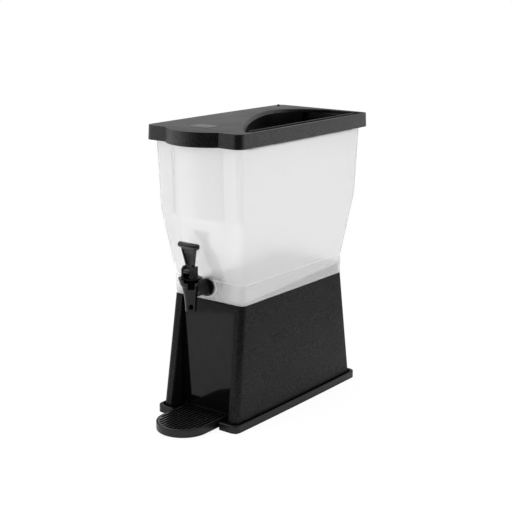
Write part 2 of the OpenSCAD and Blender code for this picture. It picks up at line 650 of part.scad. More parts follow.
// closing spring: one unbroken tube, six sides, eight rings to the turn
module spring() color("#b9bcc0") translate([0, -tap_y, collar_top + wire_r + lift_gap/2]) {
  m = spring_turns*8;
  loft([for (k = [0:m]) let (a = k*45) [for (j = [0:5]) let (q = -j*60)
    [(coil_r + wire_r*cos(q))*cos(a), (coil_r + wire_r*cos(q))*sin(a), spring_rise*k/m + wire_r*sin(q)]]]);
}

module washer(y, r_in, r_out) translate([0, y, shank_z]) rotate([-90, 0, 0]) difference() {
  cylinder(h = washer_t, r = r_out);
  translate([0, 0, -1]) cylinder(h = washer_t + 2, r = r_in);
}
module outer_washer() color("#3c3c3c") washer(collar_y, thread_r + 0.3, collar_r - 1.5);
module inner_washer() color("#d8d4c8") washer(boss_y, thread_r + 0.3, collar_r - 1);

module lock_nut() color("#1c1c1d") translate([0, boss_y + washer_t, shank_z]) rotate([-90, 0, 0]) difference() {
  intersection() {
    cylinder(h = nut_t, r = collar_r - 0.2, $fn = 6);
    cylinder(h = nut_t, r1 = collar_r + 1.4, r2 = collar_r - 1.2);
  }
  translate([0, 0, -1]) cylinder(h = nut_t + 2, r = thread_r + 0.1);
}

stand();
foot_frame();
bay_panel();
pad_fl();
pad_fr();
pad_bl();
pad_br();
drip_tray();
drip_grid();
tank();
lid();
tap_body();
bonnet();
lever();
lever_pin();
stem();
stem_pin();
seat_cup();
spring();
outer_washer();
inner_washer();
lock_nut();
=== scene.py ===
# %% [markdown]
# # A slim drink dispenser
# The dispenser has a black stand with a bay for a cup, a milky tank that lifts off, a black lid
# with a leaf-shaped well, a lever tap and a drip tray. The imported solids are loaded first: they
# are the fixed frame, in metres, with Z up and the tap facing -Y. Every piece made here sits on
# that frame and rides on one of its bodies.

# %% Load the frame
import math

import bmesh
import bpy
from mathutils import Matrix, Vector
from mathutils.geometry import interpolate_bezier


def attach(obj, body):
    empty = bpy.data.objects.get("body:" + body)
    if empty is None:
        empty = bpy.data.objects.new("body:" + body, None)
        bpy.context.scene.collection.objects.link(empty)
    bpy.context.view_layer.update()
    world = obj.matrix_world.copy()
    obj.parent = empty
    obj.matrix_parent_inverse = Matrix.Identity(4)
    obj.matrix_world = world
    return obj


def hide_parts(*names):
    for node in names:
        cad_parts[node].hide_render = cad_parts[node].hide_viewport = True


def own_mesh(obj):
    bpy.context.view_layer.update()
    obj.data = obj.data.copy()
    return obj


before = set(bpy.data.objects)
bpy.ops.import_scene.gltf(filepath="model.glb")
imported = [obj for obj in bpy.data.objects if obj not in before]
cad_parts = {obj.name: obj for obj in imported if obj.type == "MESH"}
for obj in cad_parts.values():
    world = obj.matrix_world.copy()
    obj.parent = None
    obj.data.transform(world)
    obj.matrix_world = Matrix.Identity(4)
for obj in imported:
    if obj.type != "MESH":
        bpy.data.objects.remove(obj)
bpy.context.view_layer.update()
scene = bpy.context.scene

# %% [markdown]
# ## Camera
# The picture was taken from the front right, a little above the lid, with a long lens from about
# two metres. A camera can be aimed with a constraint, but then its roll can't be set, so its three
# axes are worked out from the angles here and put straight into its matrix.

# %% Camera
AZIMUTH, ELEVATION, ROLL = (math.radians(a) for a in (37.261, 13.992, 0.3))
AIM = Vector((-0.0232, 0.0156, 0.2543))
LENS_AWAY = 2.1099
LENS_MM, SENSOR_MM = 81.76, 36
to_lens = Vector((math.sin(AZIMUTH) * math.cos(ELEVATION), -math.cos(AZIMUTH) * math.cos(ELEVATION),
                  math.sin(ELEVATION)))
level = Vector((math.cos(AZIMUTH), math.sin(AZIMUTH), 0))
turn = Matrix.Rotation(ROLL, 3, to_lens)
axes = Matrix((turn @ level, turn @ to_lens.cross(level), to_lens)).transposed()
camera = bpy.data.objects.new("camera", bpy.data.cameras.new("camera"))
camera.data.sensor_fit = "HORIZONTAL"
camera.data.sensor_width = SENSOR_MM
camera.data.lens = LENS_MM
camera.matrix_world = Matrix.Translation(AIM + LENS_AWAY * to_lens) @ axes.to_4x4()
scene.collection.objects.link(camera)
scene.camera = camera
print("camera at", [round(v, 3) for v in camera.location])

# %% [markdown]
# ## Light
# Dark plastic is drawn by what it mirrors. The rounded corners have a dark line down the middle
# while the flat sides are grey, so the object stood in a white light tent with an opening for the
# lens. The world makes that tent for mirrored rays: white all round, dark in a soft patch towards
# the lens, dimmer at the back, and bright high on the left, where a lamp shines on the cloth.
# The camera itself sees plain white. Four large lamps give the rest of the light its direction.

# %% World
scene.view_settings.view_transform = "Standard"
TENT_LIGHT, TENT_WHITE, TENT_DARK, TENT_BACK, TENT_LAMP = 1.12, 1.0, 0.0, 0.45, 2.2
LAMP_SIDE = (-0.587, -0.242, 0.772)
world = bpy.data.worlds.new("light_tent")
scene.world = world
world.use_nodes = True
tree = world.node_tree
tree.nodes.clear()


def node(tree, kind, values=None, **settings):
    """Adds one node, with its settings, and values for its input sockets by name or number."""
    made = tree.nodes.new(kind)
    for key, value in settings.items():
        setattr(made, key, value)
    for key, value in (values or {}).items():
        made.inputs[key].default_value = value
    return made


def ramp(tree, low, high, start=0.0, end=1.0, **settings):
    """A node that maps the span from low to high onto the span from start to end."""
    spans = {"From Min": low, "From Max": high, "To Min": start, "To Max": end}
    return node(tree, "ShaderNodeMapRange", spans, **settings)


def wire(tree, *pairs):
    """Links outputs to inputs, pair by pair."""
    for a, b in pairs:
        tree.links.new(a, b)


direction = node(tree, "ShaderNodeTexCoord")


def patch(towards, edge, core, rim_value, core_value):
    """A soft round patch of the tent: two angles from its middle, and the brightness at each."""
    across = node(tree, "ShaderNodeVectorMath", {1: towards}, operation="DOT_PRODUCT")
    tint = ramp(tree, math.cos(math.radians(edge)), math.cos(math.radians(core)), rim_value, core_value,
                interpolation_type="SMOOTHSTEP")
    wire(tree, (direction.outputs["Generated"], across.inputs[0]),
         (across.outputs["Value"], tint.inputs["Value"]))
    return tint.outputs["Result"]


opening = patch((math.sin(AZIMUTH), -math.cos(AZIMUTH), -0.1), 86, 32, TENT_WHITE, TENT_DARK)
backdrop = patch((-math.sin(AZIMUTH), math.cos(AZIMUTH), 0.25), 62, 34, TENT_WHITE, TENT_BACK)
lamp_side = patch(LAMP_SIDE, 34, 14, TENT_WHITE, TENT_LAMP)
walls = node(tree, "ShaderNodeMath", operation="MULTIPLY")
lit = node(tree, "ShaderNodeMath", operation="MULTIPLY")
path = node(tree, "ShaderNodeLightPath")
glossy = node(tree, "ShaderNodeMix", {"A": TENT_LIGHT}, data_type="FLOAT")
seen = node(tree, "ShaderNodeMath", operation="MAXIMUM")
shown = node(tree, "ShaderNodeMix", {"B": 1.0}, data_type="FLOAT")
sky = node(tree, "ShaderNodeBackground", {"Color": (1, 1, 1, 1)})
out = node(tree, "ShaderNodeOutputWorld")
wire(tree, (opening, walls.inputs[0]), (backdrop, walls.inputs[1]),
     (walls.outputs[0], lit.inputs[0]), (lamp_side, lit.inputs[1]),
     (path.outputs["Is Glossy Ray"], glossy.inputs["Factor"]), (lit.outputs[0], glossy.inputs["B"]),
     (path.outputs["Is Camera Ray"], seen.inputs[0]), (path.outputs["Is Transmission Ray"], seen.inputs[1]),
     (seen.outputs[0], shown.inputs["Factor"]), (glossy.outputs["Result"], shown.inputs["A"]),
     (shown.outputs["Result"], sky.inputs["Strength"]), (sky.outputs[0], out.inputs["Surface"]))
print("tent", len(tree.nodes), "nodes")

# %% Lamps
LAMP_AIM = Vector((0, 0, 0.25))
# name, place, size and power of each
LAMPS = (("key_left", (-1.3, -1.1, 1.5), 1.6, 9), ("fill_right", (1.7, 0.1, 0.9), 1.2, 5),
         ("front_soft", (0.1, -1.9, 1.3), 1.6, 14), ("top_soft", (0.1, 0.3, 2.0), 1.5, 9))
for name, place, size, power in LAMPS:
    lamp = bpy.data.objects.new(name, bpy.data.lights.new(name, "AREA"))
    lamp.data.shape, lamp.data.size, lamp.data.energy = "DISK", size, power
    lamp.location = place
    lamp.rotation_euler = (LAMP_AIM - Vector(place)).to_track_quat("-Z", "Y").to_euler()
    lamp.visible_glossy = False
    scene.collection.objects.link(lamp)

# %% [markdown]
# ## Floor
# A small pale disc, so that what lies beyond it is the tent and its dark opening. To the camera it
# is nearly white by itself, and a little of its real shading is left in, which keeps the shadow.

# %% Floor
FLOOR_R, FLOOR_SHADE = 0.75, 0.1
bm = bmesh.new()
bmesh.ops.create_circle(bm, cap_ends=True, segments=96, radius=FLOOR_R)
floor = bpy.data.objects.new("floor", bpy.data.meshes.new("floor"))
bm.to_mesh(floor.data)
bm.free()
scene.collection.objects.link(floor)
paper = bpy.data.materials.new("pale_floor")
paper.use_nodes = True
tree = paper.node_tree
tree.nodes.clear()
matt = node(tree, "ShaderNodeBsdfDiffuse", {"Color": (0.88, 0.88, 0.88, 1)})
glow = node(tree, "ShaderNodeEmission", {"Color": (1, 1, 1, 1)})
path = node(tree, "ShaderNodeLightPath")
share = node(tree, "ShaderNodeMath", {1: 1 - FLOOR_SHADE}, operation="MULTIPLY")
blend = node(tree, "ShaderNodeMixShader")
out = node(tree, "ShaderNodeOutputMaterial")
wire(tree, (path.outputs["Is Camera Ray"], share.inputs[0]), (share.outputs[0], blend.inputs[0]),
     (matt.outputs[0], blend.inputs[1]), (glow.outputs[0], blend.inputs[2]),
     (blend.outputs[0], out.inputs["Surface"]))
floor.data.materials.append(paper)
print("floor", 2 * FLOOR_R, "metres across")

# %% [markdown]
# ## Finishes
# Moulded plastic is never one flat colour. The stand and the lid have a fine spark-eroded grain,
# the tap is smooth with faint flow marks, and the tank is milky. The grain could be painted, but a
# node group makes it from Object coordinates, so it has the same size on every piece. A second group
# lightens the edges: a painted highlight, with a little wear. A third lays a little dust on top,
# and a fourth finds slots and hollows, where little light arrives, and paints shade there.

# %% Shared effects
def group(name, inputs, outputs):
    """A shader node group with named sockets; returns the tree and its two end nodes."""
    made = bpy.data.node_groups.new(name, "ShaderNodeTree")
    for label, value in inputs.items():
        socket = made.interface.new_socket(label, in_out="INPUT", socket_type="NodeSocketFloat")
        socket.default_value = value
    for label in outputs:
        made.interface.new_socket(label, in_out="OUTPUT", socket_type="NodeSocketFloat")
    return made, node(made, "NodeGroupInput"), node(made, "NodeGroupOutput")


# grain: Height for a bump, Shade for the colour and the specks, and Gloss for the roughness
grain, grain_in, grain_out = group("moulded_grain", {"Size": 900.0, "Patches": 22.0},
                                   ("Height", "Shade", "Gloss"))
spot = node(grain, "ShaderNodeTexCoord")
pits = node(grain, "ShaderNodeTexVoronoi", feature="SMOOTH_F1")
fine = node(grain, "ShaderNodeTexNoise", {"Detail": 3.0, "Roughness": 0.6})
broad = node(grain, "ShaderNodeTexNoise", {"Detail": 2.0})
both = node(grain, "ShaderNodeMath", {1: 0.6}, operation="MULTIPLY_ADD")
wire(grain, *[(spot.outputs["Object"], t.inputs["Vector"]) for t in (pits, fine, broad)],
     (grain_in.outputs["Size"], pits.inputs["Scale"]), (grain_in.outputs["Size"], fine.inputs["Scale"]),
     (grain_in.outputs["Patches"], broad.inputs["Scale"]), (pits.outputs["Distance"], both.inputs[0]),
     (fine.outputs["Fac"], both.inputs[2]), (both.outputs[0], grain_out.inputs["Height"]),
     (fine.outputs["Fac"], grain_out.inputs["Shade"]), (broad.outputs["Fac"], grain_out.inputs["Gloss"]))

# edge_highlight: a mask of the edges, from the difference between the rounded and the true normal;
# it lightens the colour there, a painted highlight with a little wear
edge_highlight, edge_highlight_in, edge_highlight_out = group("edge_rub", {"Width": 0.001, "Strength": 3.0}, ("Mask",))
soft = node(edge_highlight, "ShaderNodeBevel", samples=4)
true = node(edge_highlight, "ShaderNodeNewGeometry")
same = node(edge_highlight, "ShaderNodeVectorMath", operation="DOT_PRODUCT")
away = node(edge_highlight, "ShaderNodeMath", {0: 1.0}, operation="SUBTRACT")
gain = node(edge_highlight, "ShaderNodeMath", operation="MULTIPLY", use_clamp=True)
wire(edge_highlight, (edge_highlight_in.outputs["Width"], soft.inputs["Radius"]), (soft.outputs[0], same.inputs[0]),
     (true.outputs["Normal"], same.inputs[1]), (same.outputs["Value"], away.inputs[1]),
     (away.outputs[0], gain.inputs[0]), (edge_highlight_in.outputs["Strength"], gain.inputs[1]),
     (gain.outputs[0], edge_highlight_out.inputs["Mask"]))

# dust: more of it on what faces up, in soft patches
dust, dust_in, dust_out = group("settled_dust", {"Amount": 0.05, "Patches": 30.0}, ("Mask",))
spot = node(dust, "ShaderNodeTexCoord")
face = node(dust, "ShaderNodeNewGeometry")
split = node(dust, "ShaderNodeSeparateXYZ")
rise = ramp(dust, 0.5, 1.0)
cloud = node(dust, "ShaderNodeTexNoise", {"Detail": 4.0})
scatter = node(dust, "ShaderNodeMath", operation="MULTIPLY")
much = node(dust, "ShaderNodeMath", operation="MULTIPLY")
wire(dust, (spot.outputs["Object"], cloud.inputs["Vector"]),
     (dust_in.outputs["Patches"], cloud.inputs["Scale"]),
     (face.outputs["Normal"], split.inputs[0]), (split.outputs["Z"], rise.inputs["Value"]),
     (rise.outputs["Result"], scatter.inputs[0]), (cloud.outputs["Fac"], scatter.inputs[1]),
     (scatter.outputs[0], much.inputs[0]), (dust_in.outputs["Amount"], much.inputs[1]),
     (much.outputs[0], dust_out.inputs["Mask"]))

# recess: 1 in the open, falling to a small share in slots and hollows, where it paints shade
recess, recess_in, recess_out = group("recess_shade", {"Reach": 0.02}, ("Mask",))
open_sky = node(recess, "ShaderNodeAmbientOcclusion", samples=6)
fall = ramp(recess, 0.4, 0.92, 0.03, 1.0, interpolation_type="SMOOTHSTEP")
wire(recess, (recess_in.outputs["Reach"], open_sky.inputs["Distance"]),
     (open_sky.outputs["AO"], fall.inputs["Value"]), (fall.outputs["Result"], recess_out.inputs["Mask"]))
print("effects", [g.name for g in bpy.data.node_groups])

# %% [markdown]
# ## Moulded plastic
# Black plastic is a dark body under a thin shiny skin, and the skin is what shows. So most of the
# sheen is put into the shader's coat, whose weight may change over the surface: it sparkles with
# the grain, and fades in the recesses as painted shade. The rest is a plain value on the shader itself.

# %% Moulded plastic
COAT_SHARE, COAT_IOR = 0.75, 1.79
COLOUR_A, COLOUR_B, COLOUR_OUT = 6, 7, 2  # a Mix node's sockets for colours, by number
DUST_GREY = (0.2, 0.2, 0.2, 1)
# how much lighter the edges' colour is: a painted highlight, with a little wear
EDGE_HIGHLIGHT_GAIN, EDGE_HIGHLIGHT_LIFT, GLOSS_SPREAD = 1.5, 0.006, 0.05


def grey(value):
    return (value, value, value, 1)


def use(tree, effect, **values):
    """Places a shared effect in a material, with values for its inputs."""
    return node(tree, "ShaderNodeGroup", values, node_tree=effect)


def plastic(name, dark, light, rough, size=900.0, depth=0.1, worn=0.25, dusty=0.03, sheen=0.5,
            reach=0.02, speck=0.1):
    """Moulded plastic: two close tones in the grain, uneven gloss and a little dust; the edges are
    lightened, a painted highlight with a little wear, and the hollows darkened, a painted shade.
    """
    made = bpy.data.materials.new(name)
    made.use_nodes = True
    tree = made.node_tree
    skin = tree.nodes["Principled BSDF"]
    skin.inputs["Specular IOR Level"].default_value = sheen * (1 - COAT_SHARE)
    skin.inputs["Coat IOR"].default_value = COAT_IOR
    skin.inputs["Coat Roughness"].default_value = rough
    coat = sheen * COAT_SHARE
    # the lighter tone and the mask of the edges paint a highlight there, with a little wear
    edge_highlight_tone = [min(1, c * EDGE_HIGHLIGHT_GAIN + EDGE_HIGHLIGHT_LIFT) for c in light[:3]]
    texture = use(tree, grain, Size=size)
    edges = use(tree, edge_highlight)
    film = use(tree, dust, Amount=dusty)
    # hollow masks slots and hollows: there it paints shade, darkening the colour and fading the coat
    hollow = use(tree, recess, Reach=reach)
    specks = ramp(tree, 0.3, 0.7, coat * (1 - speck), coat * (1 + speck))
    weight = node(tree, "ShaderNodeMath", operation="MULTIPLY")
    mottle = ramp(tree, 0.35, 0.65)
    shown = node(tree, "ShaderNodeMath", operation="MULTIPLY")
    tone = node(tree, "ShaderNodeMix", {COLOUR_A: dark, COLOUR_B: light}, data_type="RGBA")
    edge_highlight_share = node(tree, "ShaderNodeMath", {1: worn}, operation="MULTIPLY")
    edge_highlight_mix = node(tree, "ShaderNodeMix", {COLOUR_B: (*edge_highlight_tone, 1)}, data_type="RGBA")
    dusted = node(tree, "ShaderNodeMix", {COLOUR_B: DUST_GREY}, data_type="RGBA")
    gloss = ramp(tree, 0.3, 0.7, rough - GLOSS_SPREAD, rough + GLOSS_SPREAD)
    bump = node(tree, "ShaderNodeBump", {"Strength": depth, "Distance": 0.0004})
    wire(tree, (texture.outputs["Shade"], specks.inputs["Value"]),
         (specks.outputs["Result"], weight.inputs[1]), (hollow.outputs["Mask"], weight.inputs[0]),
         (weight.outputs[0], skin.inputs["Coat Weight"]),
         (texture.outputs["Shade"], mottle.inputs["Value"]), (mottle.outputs["Result"], shown.inputs[0]),
         (hollow.outputs["Mask"], shown.inputs[1]), (shown.outputs[0], tone.inputs["Factor"]),
         (tone.outputs[COLOUR_OUT], edge_highlight_mix.inputs[COLOUR_A]), (edges.outputs["Mask"], edge_highlight_share.inputs[0]),
         (edge_highlight_share.outputs[0], edge_highlight_mix.inputs["Factor"]), (edge_highlight_mix.outputs[COLOUR_OUT], dusted.inputs[COLOUR_A]),
         (film.outputs["Mask"], dusted.inputs["Factor"]),
         (dusted.outputs[COLOUR_OUT], skin.inputs["Base Color"]),
         (texture.outputs["Gloss"], gloss.inputs["Value"]),
         (gloss.outputs["Result"], skin.inputs["Roughness"]),
         (texture.outputs["Height"], bump.inputs["Height"]), (bump.outputs["Normal"], skin.inputs["Normal"]))
    return made


# reach: how far the painted shade of the hollows looks; the lid's well and the grid's back in the bay are
# darkened most
grained_black = plastic("grained_black", grey(0.0003), grey(0.008), rough=0.42, size=500, depth=0.9,
                        worn=0.2, dusty=0.01, sheen=0.165, reach=0.008, speck=0.8)
lid_black = plastic("lid_black", grey(0.0003), grey(0.006), rough=0.34, size=500, depth=0.7,
                    worn=0.3, dusty=0.012, sheen=0.55, reach=0.06, speck=0.65)
satin_black = plastic("satin_black", grey(0.002), grey(0.005), rough=0.32, depth=0.3,
                      worn=0.2, dusty=0.01, sheen=0.3, reach=0.008)
grid_black = plastic("grid_black", grey(0.0), grey(0.036), rough=0.22,
                     worn=0.2, dusty=0.0, sheen=0.9, reach=0.09)
mirror_black = plastic("mirror_black", grey(0.001), grey(0.0015), rough=0.08, size=60, depth=0.02,
                       worn=0.1, dusty=0.0, sheen=0.2)
tap_black = plastic("tap_black", grey(0.0015), grey(0.003), rough=0.09, size=300, depth=0.04,
                    worn=0.3, dusty=0.0, sheen=0.21)
# painted shade: near-black plastic with almost no sheen, for slots and bores
painted_shade_black = plastic("painted_shade_black", grey(0.0003), grey(0.0006), rough=0.5, size=300, depth=0.04,
                       worn=0.0, dusty=0.0, sheen=0.02)
lever_black = plastic("lever_black", grey(0.0015), grey(0.003), rough=0.16, size=300, depth=0.04,
                      worn=0.3, dusty=0.0, sheen=0.4)
soft_rubber = plastic("soft_rubber", grey(0.008), grey(0.016), rough=0.7, size=1200, depth=0.2, worn=0.1)
pale_silicone = plastic("pale_silicone", (0.55, 0.53, 0.47, 1), (0.66, 0.64, 0.58, 1), rough=0.45,
                        depth=0.05, worn=0.1, dusty=0.0)
plate_grey = plastic("plate_grey", grey(0.045), grey(0.06), rough=0.3, size=1600, depth=0.08,
                     worn=0.4, dusty=0.02, sheen=0.6)
print("plastics", [m.name for m in bpy.data.materials if m.node_tree])

# %% [markdown]
# ## Milky plastic
# The tank lets light through but no sharp picture: the black wedge that touches it shows through
# as grey, and things further in are lost. Glass with a rough surface does that, mixed with plain
# white. The mix is one shader that lets most of its light through, which also survives export.
# Towards the rim of the shape, where the eye looks along the wall, the colour turns greyer, a painted
# shade, and the shiny coat fades; one Layer Weight node drives both.

# %% Milky plastic
# MILK_RIM_SHADE is the painted shade towards the rim
MILK_DARK, MILK_PALE, MILK_RIM_SHADE = grey(0.95), grey(0.97), grey(0.8)
MILK_COAT, MILK_SPREAD = 0.55, 0.02


def milk(name, through, rough):
    """Milky plastic: the share of light it lets through, and how much it blurs."""
    made = bpy.data.materials.new(name)
    made.use_nodes = True
    tree = made.node_tree
    skin = tree.nodes["Principled BSDF"]
    skin.inputs["IOR"].default_value = 1.49
    skin.inputs["Transmission Weight"].default_value = through
    skin.inputs["Coat Roughness"].default_value = 0.05
    skin.inputs["Specular IOR Level"].default_value = 0.1
    texture = use(tree, grain, Size=260.0, Patches=9.0)
    tone = node(tree, "ShaderNodeMix", {COLOUR_A: MILK_DARK, COLOUR_B: MILK_PALE}, data_type="RGBA")
    body = node(tree, "ShaderNodeMix", {COLOUR_B: MILK_RIM_SHADE}, data_type="RGBA")
    rim = node(tree, "ShaderNodeLayerWeight", {"Blend": 0.5})
    # the grey towards the rim is painted shade
    rim_shade = ramp(tree, 0.8, 0.96)
    coat = ramp(tree, 0.7, 0.95, MILK_COAT, 0.0)
    gloss = ramp(tree, 0.3, 0.7, rough - MILK_SPREAD, rough + MILK_SPREAD)
    bump = node(tree, "ShaderNodeBump", {"Strength": 0.03, "Distance": 0.0006})
    wire(tree, (rim.outputs["Facing"], coat.inputs["Value"]),
         (coat.outputs["Result"], skin.inputs["Coat Weight"]),
         (rim.outputs["Facing"], rim_shade.inputs["Value"]), (rim_shade.outputs["Result"], body.inputs["Factor"]),
         (texture.outputs["Gloss"], tone.inputs["Factor"]), (tone.outputs[COLOUR_OUT], body.inputs[COLOUR_A]),
         (body.outputs[COLOUR_OUT], skin.inputs["Base Color"]),
         (texture.outputs["Gloss"], gloss.inputs["Value"]),
         (gloss.outputs["Result"], skin.inputs["Roughness"]),
         (texture.outputs["Height"], bump.inputs["Height"]), (bump.outputs["Normal"], skin.inputs["Normal"]))
    return made


milky = milk("milky_plastic", 0.8, 0.2)
dense = milk("dense_plastic", 0.62, 0.25)
# nearly opaque white for the beads: a painted highlight
highlight_bead_white = milk("highlight_bead_plastic", 0.1, 0.25)
print("milky", [m.name for m in (milky, dense, highlight_bead_white)])

# %% [markdown]
# ## Drawn steel, and the solids that stay
# Wire is drawn through a die, which leaves it bright with faint streaks, so its tone and its gloss
# vary a little. Small solids whose shapes need nothing more are kept, and get their finishes here.

# %% Drawn steel
steel = bpy.data.materials.new("drawn_steel")
steel.use_nodes = True
tree = steel.node_tree
skin = tree.nodes["Principled BSDF"]
skin.inputs["Metallic"].default_value = 1.0
texture = use(tree, grain, Size=1800.0, Patches=60.0)
tones = {COLOUR_A: (0.46, 0.46, 0.47, 1), COLOUR_B: (0.62, 0.62, 0.63, 1)}
tone = node(tree, "ShaderNodeMix", tones, data_type="RGBA")
gloss = ramp(tree, 0.3, 0.7, 0.22, 0.38)
wire(tree, (texture.outputs["Shade"], tone.inputs["Factor"]),
     (tone.outputs[COLOUR_OUT], skin.inputs["Base Color"]),
     (texture.outputs["Gloss"], gloss.inputs["Value"]), (gloss.outputs["Result"], skin.inputs["Roughness"]))
print("steel", steel.name)

# %% Finishes of the solids
FINISHES = {"bay_panel": mirror_black, "pad_fl": soft_rubber, "pad_fr": soft_rubber, "pad_bl": soft_rubber,
            "pad_br": soft_rubber, "lever_pin": tap_black, "stem_pin": steel, "stem": tap_black,
            "seat_cup": pale_silicone, "outer_washer": soft_rubber, "inner_washer": pale_silicone,
            "lock_nut": satin_black, "spring": steel}
for name, finish in FINISHES.items():
    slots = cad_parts[name].data.materials
    slots.clear()
    slots.append(finish)
print("finished solids", sum(1 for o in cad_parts.values() if o.data.materials))

# %% [markdown]
# ## Outlines and skins
# The stand, the tank and the lid are all skins over a stack of outlines: rounded rectangles, some
# with a swelled front. An outline starts as a few corners, its corners are bevelled round, and its
# front and sides are subdivided and pushed out. Drawing a ring of edges from outline to outline
# makes the skin. The other helpers cut, join and soften, and turn the result into a piece.

# %% Outline and loft
MM = 0.001
CORNER_STEPS, FRONT_CUTS, SIDE_CUTS = 12, 23, 9
NEAR = 1e-3  # millimetres, within which two places count as one


def outline(half_w, half_d, corner, z, swell=0.0, swell_half=0.0, bow=0.0, slope=0.0):
    """Points of one outline: its sizes are in millimetres, the points are vectors in metres."""
    flat = bmesh.new()
    xs = [-half_w, -swell_half, swell_half, half_w] if swell_half else [-half_w, half_w]
    verts = [flat.verts.new((x, -half_d, 0)) for x in xs]
    verts += [flat.verts.new((x, half_d, 0)) for x in (half_w, -half_w)]
    bmesh.ops.contextual_create(flat, geom=verts)
    corners = [v for v in verts if abs(abs(v.co.x) - half_w) < NEAR]
    bmesh.ops.bevel(flat, geom=corners, offset=corner, offset_type="OFFSET", affect="VERTICES",
                    segments=CORNER_STEPS, profile=0.5, material=-1)
    bmesh.ops.delete(flat, geom=flat.faces[:], context="FACES_ONLY")
    front = [e for e in flat.edges if swell_half
             and all(abs(v.co.x) < swell_half + NEAR and v.co.y < 0 for v in e.verts)]
    sides = [e for e in flat.edges if e.calc_length() > half_d
             and all(abs(abs(v.co.x) - half_w) < NEAR for v in e.verts)]
    bmesh.ops.subdivide_edges(flat, edges=front, cuts=FRONT_CUTS)
    bmesh.ops.subdivide_edges(flat, edges=sides, cuts=SIDE_CUTS)
    for v in flat.verts:
        x, y = v.co.x, v.co.y
        if swell_half and y < 0 and abs(x) <= swell_half + NEAR:
            v.co.y -= swell * (1 - (x / swell_half) ** 2)
        if abs(abs(x) - half_w) < NEAR:
            v.co.x += math.copysign(bow * (1 - (y / (half_d - corner)) ** 2), x)
    face = bmesh.ops.contextual_create(flat, geom=flat.edges[:])["faces"][0]
    points = [Vector((v.co.x, v.co.y, z + slope * v.co.y)) * MM for v in face.verts]
    flat.free()
    return points


def inset(plan, by):
    """A plan is a half width, a half depth and a corner radius; this one lies further in."""
    return [size - by for size in plan]


def outward(bm):
    """Turns every face of a closed skin to the outside."""
    bmesh.ops.recalc_face_normals(bm, faces=bm.faces[:])
    if bm.calc_volume(signed=True) < 0:
        bmesh.ops.reverse_faces(bm, faces=bm.faces[:])


def ring(bm, points):
    """A closed ring of edges through points."""
    verts = [bm.verts.new(p) for p in points]
    return [bm.edges.new(pair) for pair in zip(verts, verts[1:] + verts[:1])]


def loft(bm, outlines, caps=(), loop=False):
    """Draws a ring of edges through a stack of outlines; caps names the closed ends, 0 and -1."""
    rings = [ring(bm, outlines[0])]
    verts = [e.verts[0] for e in rings[0]]
    for points in outlines[1:] + ([outlines[0]] if loop else []):
        drawn = set(bmesh.ops.extrude_edge_only(bm, edges=rings[-1])["geom"])
        verts = [next(e.other_vert(v) for e in v.link_edges if e.other_vert(v) in drawn) for v in verts]
        for v, point in zip(verts, points):
            v.co = point
        rings.append([bm.edges.get(pair) for pair in zip(verts, verts[1:] + verts[:1])])
    for end in caps:
        bmesh.ops.contextual_create(bm, geom=rings[end])
    if loop:
        bmesh.ops.remove_doubles(bm, verts=verts + [e.verts[0] for e in rings[0]], dist=1e-7)
        rings.pop()
    outward(bm)
    return rings


print("one outline", len(outline(80, 150, 10, 0, 20, 55)), "points")


# %% Edges, blocks and prisms
def soften(bm, edges, width, segments=3):
    """Rounds edges over by a width in millimetres."""
    bmesh.ops.bevel(bm, geom=edges, offset=width * MM, offset_type="OFFSET", affect="EDGES",
                    segments=segments, profile=0.5, material=-1, clamp_overlap=True)


def sharp_edges(bm, degrees=40):
    """Those edges at which the surface turns by more than an angle."""
    return [e for e in bm.edges if len(e.link_faces) == 2 and e.calc_face_angle(0) > math.radians(degrees)]


def above(edges, z):
    """Those edges that lie wholly above a height in millimetres."""
    return [e for e in edges if min(v.co.z for v in e.verts) > z * MM]


def block(bm, low, high):
    """A box from corner to corner, in millimetres."""
    low, high = Vector(low) * MM, Vector(high) * MM
    made = bmesh.ops.create_cube(bm, size=1)["verts"]
    bmesh.ops.scale(bm, vec=high - low, verts=made)
    bmesh.ops.translate(bm, vec=(low + high) / 2, verts=made)


def draw(bm, points, along):
    """A flat outline of points drawn along a vector, in millimetres, into a solid."""
    face = bmesh.ops.contextual_create(bm, geom=ring(bm, [Vector(p) * MM for p in points]))["faces"]
    drawn = bmesh.ops.extrude_face_region(bm, geom=face)["geom"]
    moved = [v for v in drawn if isinstance(v, bmesh.types.BMVert)]
    bmesh.ops.translate(bm, vec=Vector(along) * MM, verts=moved)
    outward(bm)


def prism(bm, points, z0, z1):
    """A flat outline of (x, y) points drawn up from z0 to z1, in millimetres."""
    draw(bm, [(x, y, z0) for x, y in points], (0, 0, z1 - z0))


trial = bmesh.new()
block(trial, (0, 0, 0), (10, 20, 30))
print("a block of 6 cubic centimetres:", round(trial.calc_volume() * 1e6, 3))
trial.free()


# %% Cutting, walls and pieces
def loose(bm):
    """Puts a bmesh, which is used up, into an object, so that a modifier can work on it."""
    made = bpy.data.objects.new("loose", bpy.data.meshes.new("loose"))
    bm.to_mesh(made.data)
    bm.free()
    scene.collection.objects.link(made)
    return made


def modified(made, *spent):
    """The object's shape with its modifiers applied, as a bmesh; the loose meshes are removed."""
    bm = bmesh.new()
    bm.from_object(made, bpy.context.evaluated_depsgraph_get())
    for old in (made, *spent):
        bpy.data.meshes.remove(old.data)
    return bm


def carve(body, tool):
    """Cuts one bmesh out of another; both are used up."""
    body, tool = loose(body), loose(tool)
    cut = body.modifiers.new("cut", "BOOLEAN")
    cut.operation, cut.solver, cut.object = "DIFFERENCE", "EXACT", tool
    return modified(body, tool)


def with_wall(bm, thickness, even):
    """Gives an open skin, which is used up, a wall on its inner side, in millimetres."""
    sheet = loose(bm)
    wall = sheet.modifiers.new("wall", "SOLIDIFY")
    wall.thickness, wall.offset, wall.use_even_offset = thickness * MM, -1, even
    return modified(sheet)


